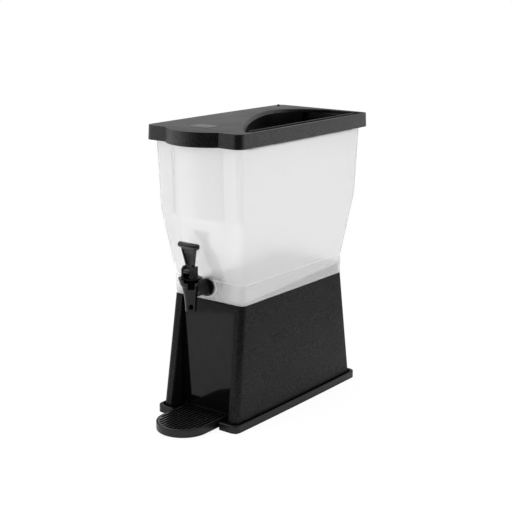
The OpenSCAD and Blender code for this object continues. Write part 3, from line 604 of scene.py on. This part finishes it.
def join(bm, *others):
    """Adds other bmeshes, which are used up, to one."""
    for other in others:
        spare = bpy.data.meshes.new("spare")
        other.to_mesh(spare)
        other.free()
        bm.from_mesh(spare)
        bpy.data.meshes.remove(spare)


def shade(made, chosen):
    """Paints shade on the chosen faces, in slots and bores: they get a near-black plastic with almost no
    sheen.
    """
    made.data.materials.append(painted_shade_black)
    for face in made.data.polygons:
        if chosen(face):
            face.material_index = 1
    print(made.name, sum(face.material_index for face in made.data.polygons), "faces in the dark")


def piece(name, bm, body, finish, stands_for=(), smooth=32):
    """Turns a bmesh into an object that rides on a body and may stand for CAD nodes."""
    made = bpy.data.objects.new(name, bpy.data.meshes.new(name))
    bm.to_mesh(made.data)
    bm.free()
    made.data.materials.append(finish)
    made.data.shade_smooth()
    made.data.set_sharp_from_angle(angle=math.radians(smooth))
    scene.collection.objects.link(made)
    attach(made, body)
    for old in stands_for:
        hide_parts(old)
    print(name, len(made.data.polygons), "faces")
    return made


# %% [markdown]
# ## Stand
# A hollow tapered box with a deck, a wedge that tilts the tank's floor, and a bay for the cup. It
# could be solidified from a skin, but the bay and its side walls need real thickness, so a full
# solid is carved: by the hollow that is left between the walls, by the bay, and by the tray's way.
# The two upright edges of the bay are rounded last, since they catch a line of light.

# %% Stand
DECK, SEAT, WALL = 213.8, 7.0, 3.2
BAY_TOP, BAY_FOOT, BAY_BACK, LINTEL, BAY_BELOW, BAY_REACH = 57.5, 63.0, -144.4, 3.0, 5.0, 80.0
SLOPE, WEDGE = 15 / 298.6, 223.3
FOOT_BOW, DECK_BOW = 1.2, 0.3
FOOT_PLAN, DECK_PLAN, WEDGE_PLAN = (83.2, 175.8, 11), (76, 149.3, 10), (71.8, 145.1, 5.8)
TRAY_WAY, WAY_TOP = 52.0, 18.5
JAMB_NEAR, JAMB_FAR, JAMB_HEAD_Y, JAMB_FOOT_Y = 54.0, 66.0, -147.5, -174.2


def bay_prism(bm, y, top, grow):
    """The space of the cup bay, running forward from y."""
    lean = (BAY_FOOT - BAY_TOP) / (DECK - SEAT)
    foot = BAY_FOOT + lean * BAY_BELOW + grow
    head = BAY_FOOT - lean * (top - SEAT) + grow
    low = SEAT - BAY_BELOW
    draw(bm, ((-foot, y, low), (foot, y, low), (head, y, top), (-head, y, top)), (0, -BAY_REACH, 0))


def on_jamb(v):
    """True at the front upright edges of the bay, which lean back towards the top."""
    x, y, z = v.co / MM
    return JAMB_NEAR < abs(x) < JAMB_FAR and y < (JAMB_HEAD_Y if z > DECK / 2 else JAMB_FOOT_Y)


hollow_foot, hollow_deck, hollow_wedge = (inset(plan, WALL) for plan in (FOOT_PLAN, DECK_PLAN, WEDGE_PLAN))
hollow = bmesh.new()
loft(hollow, [outline(*hollow_foot, SEAT - 1, bow=FOOT_BOW), outline(*hollow_deck, DECK - WALL, bow=DECK_BOW),
              outline(*hollow_wedge, DECK - WALL, bow=DECK_BOW),
              outline(*hollow_wedge, WEDGE - WALL, bow=DECK_BOW, slope=SLOPE)], caps=(0, -1))
around_bay = bmesh.new()
bay_prism(around_bay, BAY_BACK + WALL, DECK - 1, WALL)
hollow = carve(hollow, around_bay)
bm = bmesh.new()
rings = loft(bm, [outline(*FOOT_PLAN, SEAT, bow=FOOT_BOW), outline(*DECK_PLAN, DECK, bow=DECK_BOW),
                  outline(*WEDGE_PLAN, DECK, bow=DECK_BOW),
                  outline(*WEDGE_PLAN, WEDGE, bow=DECK_BOW, slope=SLOPE)], caps=(0, -1))
soften(bm, rings[1] + rings[3], 0.9)
bm = carve(bm, hollow)
bay = bmesh.new()
bay_prism(bay, BAY_BACK, DECK - LINTEL, 0)
bm = carve(bm, bay)
way = bmesh.new()
block(way, (-TRAY_WAY, BAY_BACK - 1, SEAT - 2), (TRAY_WAY, BAY_BACK + WALL + 1, WAY_TOP))
bm = carve(bm, way)
upright = [e for e in sharp_edges(bm) if abs(e.verts[0].co.z - e.verts[1].co.z) > 0.1]
jambs = [e for e in upright if all(on_jamb(v) for v in e.verts)]
print("edges of the bay to round", len(jambs))
soften(bm, jambs, 2.6, 5)
piece("stand_shell", bm, "base", grained_black, ["stand"])

# %% [markdown]
# ## Foot frame
# A rim round the foot with a groove between it and the stand, open at the front for the tray. It
# could be joined from straight bars, but their corners would need filling. Its section is a closed
# loop of outlines instead, so one skin makes the rim, the groove and the seat, corners and all.

# %% Foot frame
RIM_PLAN, RIM_LOW, RIM_TOP = (89.3, 184.7, 12), 1.2, 14.4
GROOVE_PLAN, LEDGE_PLAN = inset(FOOT_PLAN, -3.2), inset(FOOT_PLAN, 8.2)
# the blocks beside the tray's way and the runners: reach in x, then the low and the high y and z
RAILS = ((TRAY_WAY, 76, (-168.6, RIM_LOW), (-99, SEAT)), (45, 54, (-142.6, 4.0), (-100, 6.2)))
section = ((LEDGE_PLAN, RIM_LOW), (RIM_PLAN, RIM_LOW), (RIM_PLAN, RIM_TOP),
           (GROOVE_PLAN, RIM_TOP), (GROOVE_PLAN, SEAT), (LEDGE_PLAN, SEAT))
bm = bmesh.new()
rings = loft(bm, [outline(*plan, z, bow=FOOT_BOW) for plan, z in section], loop=True)
soften(bm, rings[2], 1.8, 4)
level_edges = [e for e in bm.edges if all(abs(v.co.z - RIM_TOP * MM) < 1e-6 for v in e.verts)]
soften(bm, [e for e in level_edges if len(e.link_faces) == 2 and e.calc_face_angle(0) > 1], 0.7)
gap = bmesh.new()
block(gap, (-TRAY_WAY, -260, 0), (TRAY_WAY, 0, 20))
bm = carve(bm, gap)
cut_ends = [e for e in sharp_edges(bm) if all(abs(abs(v.co.x) - TRAY_WAY * MM) < 1e-5 for v in e.verts)]
soften(bm, cut_ends, 0.8)
for side in (-1, 1):
    for near, far, low, high in RAILS:
        left, right = sorted((side * near, side * far))
        block(bm, (left, *low), (right, *high))
piece("frame_rim", bm, "base", satin_black, ["foot_frame"])

# %% [markdown]
# ## Drip tray and grid
# The tray is a flat outline with a half round nose, drawn up into a solid. Two smaller tongues are
# cut out of it for the ledge and the basin, and blocks for its hollow back and for the runners.
# The grid is a plate with a row of slots, which follow the nose, so each slot's length comes from
# the circle.

# %% Drip tray
NOSE_Y, NOSE_R, TRAY_BACK, GRID_BACK = -215.0, 47.0, -96.0, -148.6
TRAY_LOW, TRAY_TOP = 2.0, 16.0
# margin, back end, floor and top of the ledge and of the basin
BASINS = ((2.0, GRID_BACK, 13.0, 20.0), (3.6, GRID_BACK - 3.6, 4.0, 13.5))
# two corners of the hollow back and of each runner's groove
TRAY_CUTS = (((-41, -153.2, 4), (41, -98, 14)), ((-50, -143.6, 3.6), (-44.6, -95, 6.6)),
             ((44.6, -143.6, 3.6), (50, -95, 6.6)))


def tongue(margin, back, steps=48):
    """Points of a round-nosed outline: half a circle at the front and two square corners behind."""
    half = NOSE_R - margin
    turns = (math.pi * i / steps for i in range(steps + 1))
    return [(-half * math.cos(a), NOSE_Y - half * math.sin(a)) for a in turns] + [(half, back), (-half, back)]


bm = bmesh.new()
prism(bm, tongue(0, TRAY_BACK), TRAY_LOW, TRAY_TOP)
soften(bm, [e for e in sharp_edges(bm) if max(v.co.z for v in e.verts) < (TRAY_LOW + 0.1) * MM], 1.6)
soften(bm, above(sharp_edges(bm), TRAY_TOP - 0.1), 0.7)
for margin, back, low, high in BASINS:
    basin = bmesh.new()
    prism(basin, tongue(margin, back), low, high)
    bm = carve(bm, basin)
for low, high in TRAY_CUTS:
    cut = bmesh.new()
    block(cut, low, high)
    bm = carve(bm, cut)
soften(bm, above(sharp_edges(bm, 60), TRAY_TOP - 0.2), 0.3, 2)
piece("tray_shell", bm, "tray", satin_black, ["drip_tray"])

# %% Drip grid
SLOTS, SLOT_SHARE, GRID_LOW = 12, 0.55, 13.2
GRID_MARGIN, BORDER_MARGIN, SLOT_MARGIN = 2.4, 3.2, 4.4
OPEN_Y = -155.0


def in_slot(face):
    """True on the sides of the slots: they lie inside the grid's border and don't face up."""
    at = face.center
    inside = math.hypot(at.x, min(0, at.y - NOSE_Y * MM)) < (NOSE_R - BORDER_MARGIN) * MM
    return inside and at.y < OPEN_Y * MM and face.normal.z < 0.6


bm = bmesh.new()
prism(bm, tongue(GRID_MARGIN, GRID_BACK - 0.4), GRID_LOW, TRAY_TOP)
span = 2 * (NOSE_R - GRID_MARGIN - GRID_MARGIN)
pitch = span / SLOTS
half_slot = pitch * SLOT_SHARE / 2
cuts = bmesh.new()
for i in range(SLOTS):
    x = (i + 0.5) * pitch - span / 2
    reach = math.sqrt((NOSE_R - SLOT_MARGIN) ** 2 - (abs(x) + half_slot) ** 2)
    block(cuts, (x - half_slot, NOSE_Y - reach, 10), (x + half_slot, GRID_BACK - 3.4, 20))
bm = carve(bm, cuts)
upper = above(sharp_edges(bm), TRAY_TOP - 0.1)
soften(bm, [e for e in upper if min(v.co.y for v in e.verts) < OPEN_Y * MM], 0.5)
grid_bars = piece("grid_bars", bm, "grid", grid_black, ["drip_grid"])
# painted shade on the sides of the slots
shade(grid_bars, in_slot)

# %% [markdown]
# ## Tank
# A straight band stands on the deck, the walls flare from a crease to a knee, and from there rise
# to a flange under the lid. The front swells forward above the band. The skin is drawn through five
# outlines, its creases are softened, and it is given its wall afterwards. The sloping floor, the
# boss round the tap hole and the hole itself follow. A fine bead along the crease and a ring round
# the tap are of nearly opaque white plastic, a painted highlight of the light lines seen there.

# %% Tank
BAND_LOW, BAND_TOP, KNEE_Z, FLANGE_Z = 214.0, 249.5, 362, 495.3
KNEE_PLAN, MOUTH_PLAN, FLANGE_PLAN = (89, 172.3, 12), (92.3, 178.5, 12), (96.1, 185.9, 9.4)
SWELL_HALF = 55
RIM_SWELL = (24, 57, 2.2)  # swell, half its width, and the bow of the sides, for the flange and the lid
TANK_WALL, TAP_Z, TAP_HOLE, BOSS_R = 1.8, 236.5, 10.4, 18.2


def turned(points):
    """A closed section of (radius, y) points turned round the axis of the tap's shank."""
    bm = bmesh.new()
    section = ring(bm, [Vector((r, y, TAP_Z)) * MM for r, y in points])
    bmesh.ops.spin(bm, geom=section + bm.verts[:], cent=(0, 0, TAP_Z * MM), axis=(0, 1, 0),
                   angle=2 * math.pi, steps=64, use_merge=True)
    bmesh.ops.remove_doubles(bm, verts=bm.verts[:], dist=1e-6)
    outward(bm)
    return bm


bm = bmesh.new()
rings = loft(bm, [outline(*DECK_PLAN, BAND_LOW, 0, SWELL_HALF), outline(*DECK_PLAN, BAND_TOP, 0, SWELL_HALF),
                  outline(*KNEE_PLAN, KNEE_Z, 20, SWELL_HALF, 0.6),
                  outline(*MOUTH_PLAN, FLANGE_Z, 21, SWELL_HALF, 1),
                  outline(*FLANGE_PLAN, FLANGE_Z, *RIM_SWELL)])
soften(bm, rings[1], 0.5, 2)
soften(bm, rings[2], 0.5, 2)
soften(bm, rings[3], 1.2, 3)
bmesh.ops.recalc_face_normals(bm, faces=bm.faces[:])
if sum(f.normal.dot(f.calc_center_median().xy.to_3d()) for f in bm.faces) < 0:
    bmesh.ops.reverse_faces(bm, faces=bm.faces[:])
bm = with_wall(bm, TANK_WALL, even=True)
drill = bmesh.new()
drill_place = Matrix.Translation((0, -0.15, TAP_Z * MM)) @ Matrix.Rotation(math.pi / 2, 4, "X")
bmesh.ops.create_cone(drill, cap_ends=True, segments=64, radius1=TAP_HOLE * MM, radius2=TAP_HOLE * MM,
                      depth=0.06, matrix=drill_place)
bm = carve(bm, drill)
tank_floor = bmesh.new()
loft(tank_floor, [outline(*inset(DECK_PLAN, 1), z, slope=SLOPE) for z in (224.3, 227.3)], caps=(0, -1))
boss = turned(((TAP_HOLE, -148), (BOSS_R, -148), (BOSS_R, -136.5), (TAP_HOLE, -136.5)))
piece("tank_shell", bm, "tank", milky, ["tank"])
piece("tank_bottom", tank_floor, "tank", milky)
piece("tap_boss", boss, "tank", dense)

# %% Beads on the tank
# how far out and how high for the bead, radius and y for the ring
BEAD = ((-0.4, 249.2), (0.12, 249.35), (0.12, 249.65), (-0.4, 249.9))
TAP_RING = ((17.5, -149.1), (17.8, -149.7), (18.2, -149.7), (18.5, -149.1))
beads = bmesh.new()
loft(beads, [outline(*inset(DECK_PLAN, -out), z) for out, z in BEAD], loop=True)
join(beads, turned(TAP_RING))
# the beads' white plastic paints the highlight along the crease and round the tap
piece("tank_beads", beads, "tank", highlight_bead_white, smooth=50)

# %% [markdown]
# ## Lid
# A shallow tray turned over, with a leaf-shaped step and a deep well inside it. The upper side is
# made as one sheet: skirt, rounded edge, flat top with the leaf cut out of it, riser, step, well
# wall and floor. A sheet with holes can be filled from its border loops, which keeps the leaf's
# curve clean, where a Boolean would leave slivers. The wall is added to the sheet at the end.

# %% Lid
LID_TOP, LID_LOW, LID_WALL, SKIRT_OUT = 508.0, 483.7, 2.6, 1.1
STEP, LEAF_LIP, WELL, WELL_X, WELL_BACK = 6.0, 3.0, 30.0, 80.0, 166.0
LID_PLAN, REST_PLAN, REST_HOLE = (99.7, 189.5, 13), (97.1, 186.9, 10.4), (84.1, 173.9, 2.6)
REST_LOW, REST_TOP = 498.5, 501.8
BORDER_X, BORDER_BACK, BORDER_FRONT = 95.5, 183.5, -151
HOLE_X, HOLE_Y, HOLE_R = 43, 30, 17
WELL_CURVE_X, WELL_CURVE_Y = 68, 158  # the well follows the leaf's curve up to these
LEAF_CURVE_X, LEAF_CURVE_Y = 80, 176  # beyond these the leaf has its straight borders
LEAF = [Vector((x, y, 0)) for x, y in ((88.5, -161), (24, -99.9), (-56, 44.9), (-57, 100),
                                       (-57, 135), (-19.8, 174), (24.4, 178))]
leaf = [(p.x, p.y) for p in interpolate_bezier(*LEAF[:4], 48) + interpolate_bezier(*LEAF[3:], 28)[1:]]


def step_line(s):
    """The leaf's curve and the two straight borders, all moved inwards by s."""
    borders = [(BORDER_X - s, BORDER_BACK - s), (BORDER_X - s, BORDER_FRONT + s)]
    return [(x + s, y + s / 2) for x, y in leaf] + borders


def well_line(s):
    """The leaf's curve moved inwards by s, closed by the straight back end and right side of the well."""
    curve = [(x + s, y + s / 2) for x, y in leaf if x < WELL_CURVE_X and y < WELL_CURVE_Y]
    return curve + [(curve[-1][0], WELL_BACK), (WELL_X, WELL_BACK), (WELL_X, curve[0][1])]


def on_curve(v):
    """True on the curved border of the leaf."""
    return v.co.x < LEAF_CURVE_X * MM and v.co.y < LEAF_CURVE_Y * MM


def levels(bm, *lines):
    """A skin through flat outlines, each given as its points and its height."""
    return loft(bm, [[Vector((x, y, z)) * MM for x, y in points] for points, z in lines])


def fill(bm, *loops):
    """A flat face between border loops."""
    edges = [e for loop in loops for e in loop]
    bmesh.ops.triangle_fill(bm, use_beauty=True, use_dissolve=False, edges=edges)


bm = bmesh.new()
skirt = loft(bm, [outline(*inset(LID_PLAN, -SKIRT_OUT), LID_LOW, *RIM_SWELL),
                  outline(*LID_PLAN, LID_TOP, *RIM_SWELL)])
lip = levels(bm, (step_line(0), LID_TOP), (step_line(LEAF_LIP), LID_TOP - STEP))
brink = well_line(LEAF_LIP + 0.4)
well = levels(bm, (brink, LID_TOP - STEP), (brink, LID_TOP - WELL))
turns = [2 * math.pi * i / 64 for i in range(64)]
hole = ring(bm, [Vector((HOLE_X + HOLE_R * math.cos(a), HOLE_Y + HOLE_R * math.sin(a), LID_TOP - WELL)) * MM
                 for a in turns])
fill(bm, skirt[1], lip[0])
fill(bm, lip[1], well[0])
fill(bm, well[1], hole)
bmesh.ops.recalc_face_normals(bm, faces=bm.faces[:])
if max(bm.faces, key=lambda f: f.calc_center_median().z).normal.z < 0:
    bmesh.ops.reverse_faces(bm, faces=bm.faces[:])
print("lid sheet", len(bm.faces), "faces")
soften(bm, skirt[1], 4.4, 6)
for width, curved in ((1.5, True), (0.7, False)):
    top_edges = [e for e in sharp_edges(bm, 30) if all(abs(v.co.z - LID_TOP * MM) < 1e-6 for v in e.verts)]
    soften(bm, [e for e in top_edges if curved == all(on_curve(v) for v in e.verts)], width, 4)
bm = with_wall(bm, LID_WALL, even=False)
rib = bmesh.new()
block(rib, (WELL_X, -141, REST_LOW), (WELL_X + LID_WALL, WELL_BACK + LID_WALL, LID_TOP))
soften(rib, above(rib.edges, LID_TOP - 0.1), 0.6, 3)
rest = bmesh.new()
section = ((REST_PLAN, REST_LOW), (REST_PLAN, REST_TOP), (REST_HOLE, REST_TOP), (REST_HOLE, REST_LOW))
loft(rest, [outline(*plan, z, *RIM_SWELL) for plan, z in section], loop=True)
nub = bmesh.new()
bmesh.ops.create_cone(nub, cap_ends=True, segments=32, radius1=2.4 * MM, radius2=1.9 * MM, depth=3.2 * MM,
                      matrix=Matrix.Translation(Vector((-90.5, 172, 508.6)) * MM))
join(bm, rib, rest, nub)
piece("lid_shell", bm, "lid", lid_black, ["lid"])

# %% [markdown]
# ## Plate on the lid
# A small bare plate lies on the front of the lid. A change of colour could stand for it, but only a
# real edge catches the light, so it is a thin block with rounded corners and a softened upper edge.

# %% Plate on the lid
PLATE_LOW, PLATE_HIGH = (-33, -160, 507.9), (9, -126, 508.45)
bm = bmesh.new()
block(bm, PLATE_LOW, PLATE_HIGH)
soften(bm, [e for e in bm.edges if abs(e.verts[0].co.z - e.verts[1].co.z) > 1e-4], 2.5, 5)
soften(bm, above(sharp_edges(bm, 60), PLATE_HIGH[2] - 0.05), 0.25, 2)
piece("lid_plate", bm, "lid", plate_grey)

# %% [markdown]
# ## Tap
# The body, the bonnet and the lever come from the solids, whose shapes are right. A copy of each
# has its loose triangles merged and its flat faces joined, and its edges are rounded by a fraction
# of a millimetre, so that they catch the light as moulded edges do.

# %% Tap
TAP_Y = -193.6
TAP_AXIS = Vector((0, TAP_Y, 0)) * MM
CHAMBER_R, SPOUT_R, SPOUT_TOP, BONNET_FOOT = 17.0, 8.8, 222.0, 261.3
TAP_PARTS = (("tap_body", "tank", tap_black, 0.35), ("bonnet", "tank", tap_black, 0.3),
             ("lever", "lever", lever_black, 0.4))


def in_bore(at, normal):
    """True on the inner walls of the body: they face the axis, or lie in the notch of the spout."""
    out = at.xy.to_3d()
    faces_axis = out.length < CHAMBER_R * MM and normal.dot(out) < -0.2 * out.length
    in_notch = out.length < SPOUT_R * MM and at.z < SPOUT_TOP * MM
    return faces_axis or in_notch


for name, body, finish, width in TAP_PARTS:
    bm = bmesh.new()
    bm.from_mesh(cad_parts[name].data)
    bmesh.ops.remove_doubles(bm, verts=bm.verts[:], dist=2e-6)
    bmesh.ops.dissolve_limit(bm, angle_limit=math.radians(0.5), verts=bm.verts[:], edges=bm.edges[:])
    soften(bm, sharp_edges(bm, 45), width, 2)
    made = piece("soft_" + name, bm, body, finish, [name])
    # painted shade: the body's bores and the spout's notch, and the bonnet's lugs and skirt below the rim
    if name == "tap_body":
        shade(made, lambda face: in_bore(face.center - TAP_AXIS, face.normal))
    if name == "bonnet":
        shade(made, lambda face: face.center.z < BONNET_FOOT * MM)

# %% [markdown]
# ## Thread and spring
# Both are helixes: a small section spun round an axis while it moves along it. A Screw modifier can
# do that too, but spin does it in one call with its step vector. The spring is pressed towards the
# bonnet when the valve opens.

# %% Thread
PITCH, TURNS, STEPS = 2.0, 11, 32
RIDGE = ((9.6, -144.6), (10.35, -143.75), (9.6, -142.9))
bm = bmesh.new()
bmesh.ops.contextual_create(bm, geom=ring(bm, [Vector((0, y, TAP_Z + r)) * MM for r, y in RIDGE]))
bmesh.ops.spin(bm, geom=bm.verts[:] + bm.edges[:] + bm.faces[:], cent=(0, 0, TAP_Z * MM), axis=(0, 1, 0),
               dvec=(0, PITCH * MM / STEPS, 0), angle=2 * math.pi * (TURNS - 1), steps=STEPS * (TURNS - 1))
bmesh.ops.recalc_face_normals(bm, faces=bm.faces[:])
piece("shank_thread", bm, "tank", tap_black, smooth=60)

# %% Spring
COIL_R, WIRE_R, COIL_LOW, COIL_HIGH, COILS = 4.2, 0.6, 236.7, 251.3, 4
coil_start = Matrix.Translation(Vector((COIL_R, TAP_Y, COIL_LOW)) * MM) @ Matrix.Rotation(math.pi / 2, 4, "X")
bm = bmesh.new()
bmesh.ops.create_circle(bm, segments=12, radius=WIRE_R * MM, cap_ends=True, matrix=coil_start)
bmesh.ops.spin(bm, geom=bm.verts[:] + bm.edges[:] + bm.faces[:], cent=(0, TAP_Y * MM, 0), axis=(0, 0, 1),
               dvec=(0, 0, (COIL_HIGH - COIL_LOW) * MM / (COILS * STEPS)),
               angle=2 * math.pi * COILS, steps=COILS * STEPS)
bmesh.ops.recalc_face_normals(bm, faces=bm.faces[:])
coil = piece("closing_coil", bm, "tank", steel, ["spring"], smooth=60)
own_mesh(coil)
